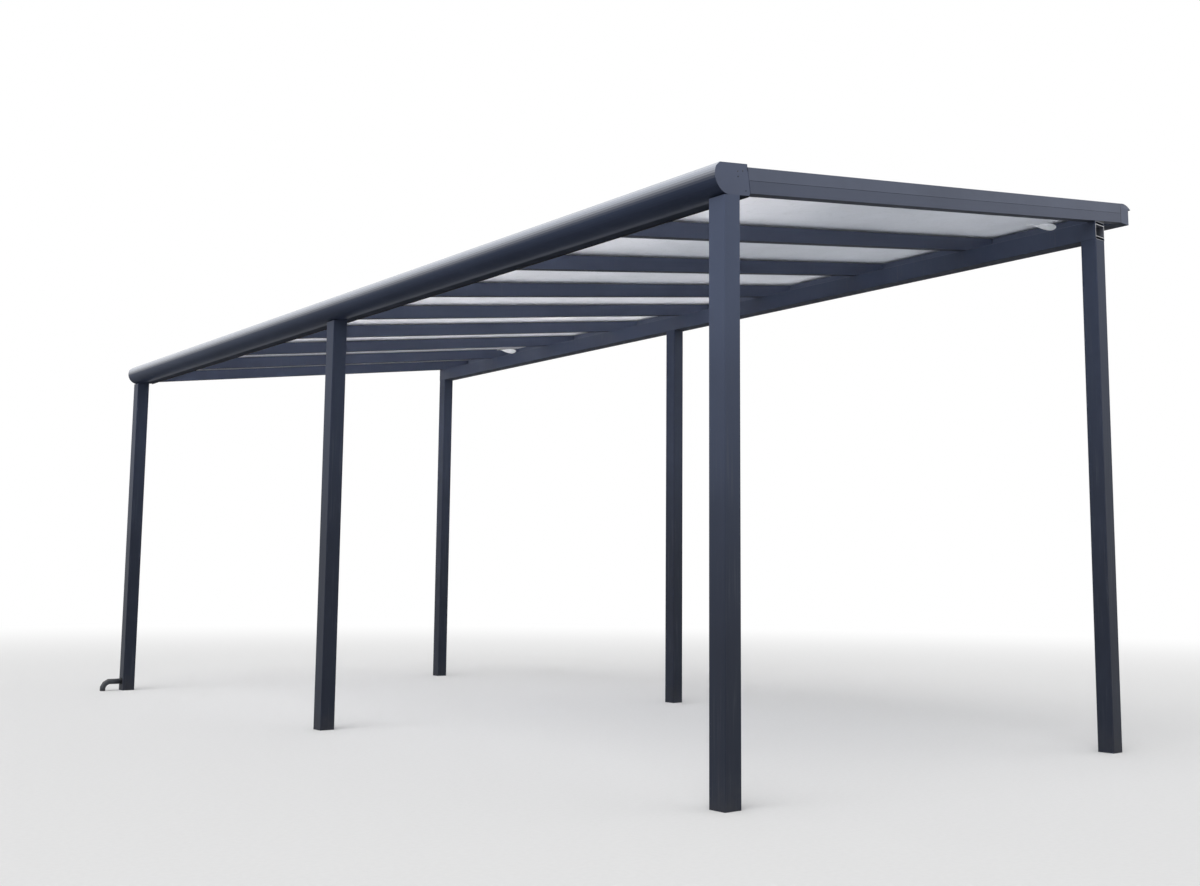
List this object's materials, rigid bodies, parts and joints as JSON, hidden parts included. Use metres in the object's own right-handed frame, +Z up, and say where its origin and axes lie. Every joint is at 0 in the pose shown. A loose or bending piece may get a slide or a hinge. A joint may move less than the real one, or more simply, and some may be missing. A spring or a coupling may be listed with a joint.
{
  "type": "carport",
  "caption": "Free-standing open carport: square posts, sloping rafters with cover strips, opal roof sheets, half-round gutter, level carrier beam and a closing profile on the high side.",
  "frame": {"origin": "on the ground, in the middle of the footprint", "axes": "+X up the roof's slope from the gutter side to the high side, +Y along the eaves from the front to the rear, +Z up"},
  "size_m": [4.199, 8.14, 3.7025],
  "materials": {
    "bare_metal": "bare mill finish",
    "coated_aluminium": "satin powder coat, dark blue-grey",
    "opal_sheet": "opal multiwall sheet, translucent, slightly glossy",
    "outlet_plastic": "dark grey plastic",
    "packer": "black plastic packer"
  },
  "bodies": {
    "root": {"carrier_beam": "coated_aluminium", "closing_cap_front": "coated_aluminium", "closing_cap_rear": "coated_aluminium", "closing_profile": "coated_aluminium", "cover_1": "coated_aluminium", "cover_2": "coated_aluminium", "cover_3": "coated_aluminium", "cover_4": "coated_aluminium", "cover_5": "coated_aluminium", "cover_6": "coated_aluminium", "cover_7": "coated_aluminium", "cover_edge_front": "coated_aluminium", "cover_edge_rear": "coated_aluminium", "gutter": "coated_aluminium", "gutter_cap_front": "coated_aluminium", "gutter_cap_rear": "coated_aluminium", "gutter_drain": "outlet_plastic", "post_feet": "bare_metal", "post_left_front": "coated_aluminium", "post_left_mid": "coated_aluminium", "post_left_rear": "coated_aluminium", "post_right_front": "coated_aluminium", "post_right_mid": "coated_aluminium", "post_right_rear": "coated_aluminium", "rafter_1": "coated_aluminium", "rafter_2": "coated_aluminium", "rafter_3": "coated_aluminium", "rafter_4": "coated_aluminium", "rafter_5": "coated_aluminium", "rafter_6": "coated_aluminium", "rafter_7": "coated_aluminium", "rafter_edge_front": "coated_aluminium", "rafter_edge_rear": "coated_aluminium", "rafter_wedges": "packer", "rain_outlet": "outlet_plastic", "roof_sheet_1": "opal_sheet", "roof_sheet_2": "opal_sheet", "roof_sheet_3": "opal_sheet", "roof_sheet_4": "opal_sheet", "roof_sheet_5": "opal_sheet", "roof_sheet_6": "opal_sheet", "roof_sheet_7": "opal_sheet", "roof_sheet_8": "opal_sheet", "sheet_end_trims": "bare_metal"}
  },
  "joints": []
}
